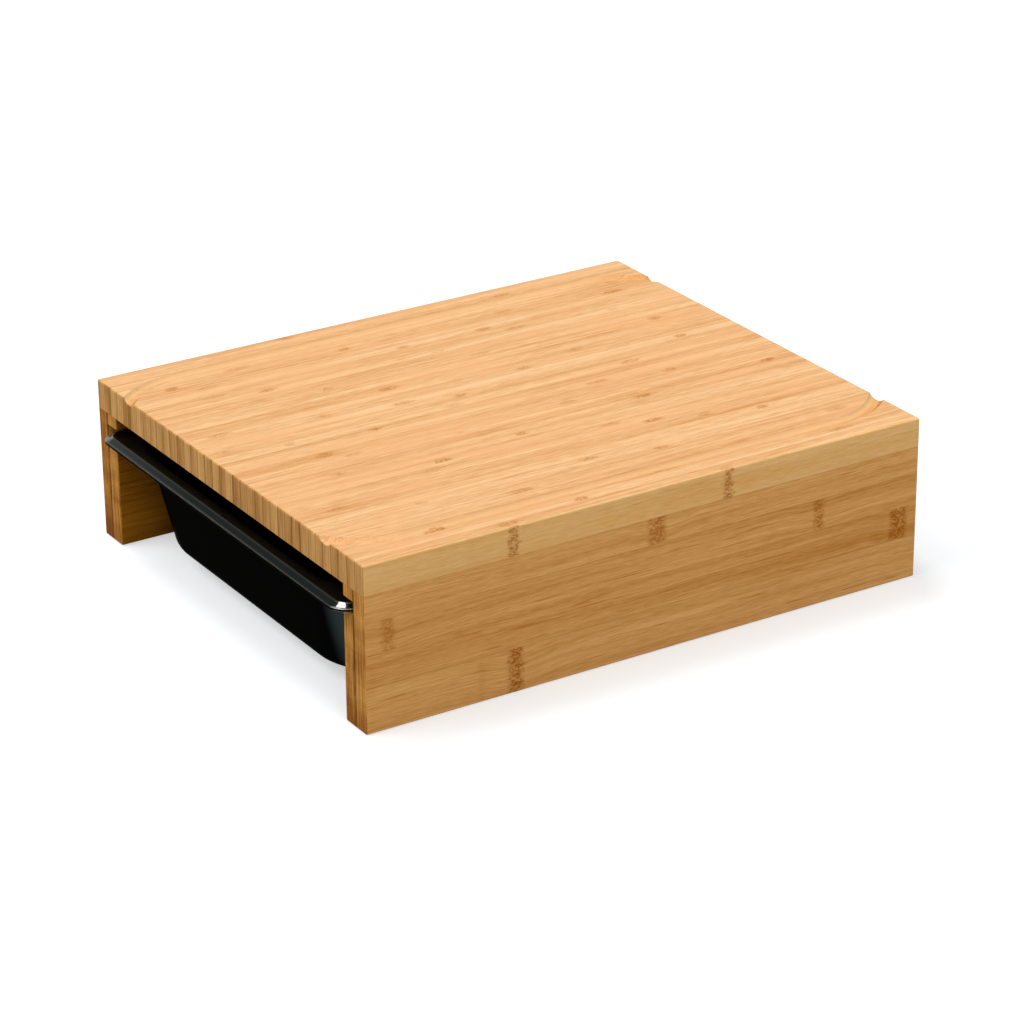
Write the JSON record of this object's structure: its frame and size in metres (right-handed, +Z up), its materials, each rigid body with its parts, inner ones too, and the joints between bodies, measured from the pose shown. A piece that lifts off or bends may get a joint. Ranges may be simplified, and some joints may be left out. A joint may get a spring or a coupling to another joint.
{
  "type": "cutting board with drawer trays",
  "caption": "Table-shaped bamboo cutting board with juice grooves along its sides and a black slide-out tray hung in runner grooves at each open end.",
  "frame": {"origin": "on the worktop, under the middle of the board", "axes": "+X to the right side, +Y from the front end to the rear end, +Z up"},
  "size_m": [0.3, 0.37, 0.096],
  "materials": {
    "bamboo_top": "oiled, satin",
    "bamboo_side": "oiled, satin",
    "bamboo_inner": "oiled, satin",
    "dowel_wood": "bare",
    "black_tray": "gloss"
  },
  "bodies": {
    "board": {"top_panel": "bamboo_top", "left_side_outer": "bamboo_side", "left_side_inner": "bamboo_inner", "left_runner_strip": "bamboo_inner", "left_dowels": "dowel_wood", "right_side_outer": "bamboo_side", "right_side_inner": "bamboo_inner", "right_runner_strip": "bamboo_inner", "right_dowels": "dowel_wood"},
    "front_drawer": {"front_tray": "black_tray"},
    "rear_drawer": {"rear_tray": "black_tray"}
  },
  "joints": [
    {"name": "front_tray_slide", "type": "slide", "parent": "board", "child": "front_drawer", "axis": [0, -1, 0], "range_m": [0, 0.15]},
    {"name": "rear_tray_slide", "type": "slide", "parent": "board", "child": "rear_drawer", "axis": [0, 1, 0], "range_m": [0, 0.15]}
  ]
}
